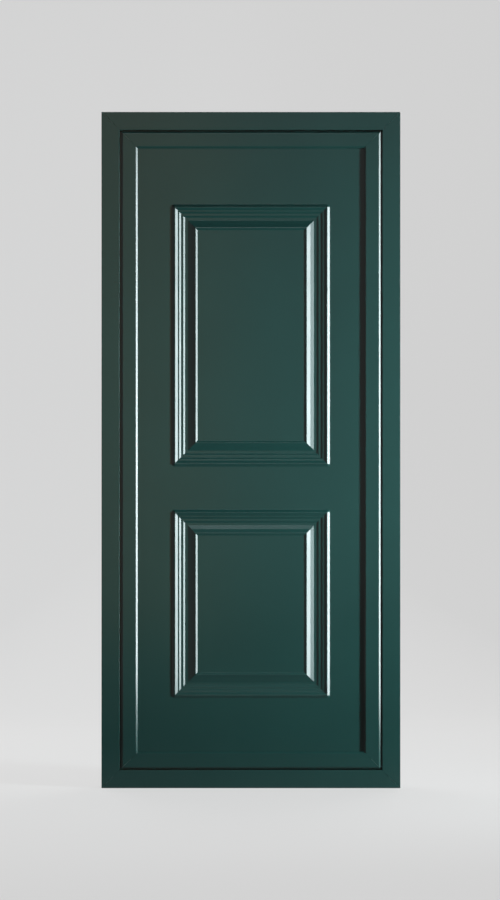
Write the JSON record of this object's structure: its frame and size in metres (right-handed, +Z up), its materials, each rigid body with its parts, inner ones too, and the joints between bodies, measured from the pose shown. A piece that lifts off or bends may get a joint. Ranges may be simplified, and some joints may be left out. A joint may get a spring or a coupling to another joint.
{
  "type": "panelled door with frame",
  "caption": "Panelled door leaf with two raised and fielded panels, hung on barrel hinges in a mitred four-sided frame, with a lever latch and a dead bolt worked from the inner side.",
  "frame": {"origin": "middle of the frame sill's underside, halfway between the frame's front and back faces", "axes": "+X to the right seen from the front, +Y from the front through the door to the inner side, +Z up"},
  "size_m": [0.99, 0.1195, 2.24],
  "materials": {
    "green_paint": "satin powder coat",
    "seal_rubber": "matt",
    "black_plastic": "matt",
    "white_plastic": "matt",
    "core_foam": "rigid foam",
    "bare_aluminium": "mill finish",
    "steel": "zinc plated",
    "satin_handle": "satin"
  },
  "bodies": {
    "frame": {"fixing_caps": "black_plastic", "frame_corner_cleats": "bare_aluminium", "frame_head": "green_paint", "frame_hinge_jamb": "green_paint", "frame_lock_jamb": "green_paint", "frame_seal": "seal_rubber", "frame_sill": "green_paint", "hinge_bottom_frame_wing": "green_paint", "hinge_bottom_pin": "steel", "hinge_bottom_washers": "white_plastic", "hinge_frame_screws": "steel", "hinge_middle_frame_wing": "green_paint", "hinge_middle_pin": "steel", "hinge_middle_washers": "white_plastic", "hinge_top_frame_wing": "green_paint", "hinge_top_pin": "steel", "hinge_top_washers": "white_plastic", "strike_plate": "steel", "strike_screws": "steel"},
    "lever": {"lever_handle": "satin_handle", "lever_spindle": "steel", "lock_follower": "steel"},
    "latch": {"latch_bolt": "steel"},
    "turn": {"thumb_turn": "satin_handle", "thumbturn_cam": "steel"},
    "bolt": {"dead_bolt": "steel"},
    "leaf": {"bead_bottom": "green_paint", "bead_hinge_side": "green_paint", "bead_lock_side": "green_paint", "bead_top": "green_paint", "hinge_bottom_leaf_wing": "green_paint", "hinge_leaf_screws": "steel", "hinge_middle_leaf_wing": "green_paint", "hinge_top_leaf_wing": "green_paint", "latch_spring": "steel", "leaf_bottom_rail": "green_paint", "leaf_corner_cleats": "bare_aluminium", "leaf_hinge_stile": "green_paint", "leaf_lock_stile": "green_paint", "leaf_top_rail": "green_paint", "lever_rose": "satin_handle", "lock_case": "steel", "lock_cover": "steel", "lock_faceplate": "steel", "lock_faceplate_screws": "steel", "panel_back_gasket": "seal_rubber", "panel_back_skin": "green_paint", "panel_core": "core_foam", "panel_front_gasket": "seal_rubber", "panel_front_skin": "green_paint", "panel_packers": "black_plastic", "rose_screws": "steel", "thumbturn_rose": "satin_handle"}
  },
  "joints": [
    {"name": "leaf_swing", "type": "hinge", "parent": "frame", "child": "leaf", "pos_m": [-0.4525, 0.041, 0], "axis": [0, 0, 1], "range_deg": [0, 170]},
    {"name": "lever_turn", "type": "hinge", "parent": "leaf", "child": "lever", "pos_m": [0.4173, 0.013, 1.05], "axis": [0, -1, 0], "range_deg": [0, 40], "stiffness_Nm_per_rad": 1.5, "springref_deg": -22.92},
    {"name": "latch_slide", "type": "slide", "parent": "leaf", "child": "latch", "axis": [-1, 0, 0], "range_m": [0, 0.012], "deforming": ["latch_spring"]},
    {"name": "turn_turn", "type": "hinge", "parent": "leaf", "child": "turn", "pos_m": [0.4173, 0.013, 0.965], "axis": [0, 1, 0], "range_deg": [0, 90]},
    {"name": "bolt_slide", "type": "slide", "parent": "leaf", "child": "bolt", "axis": [1, 0, 0], "range_m": [0, 0.018]}
  ],
  "couplings": [
    {"joint": "latch_slide", "follows": "lever_turn", "m_per_rad": 0.017189},
    {"joint": "bolt_slide", "follows": "turn_turn", "m_per_rad": 0.011459}
  ]
}
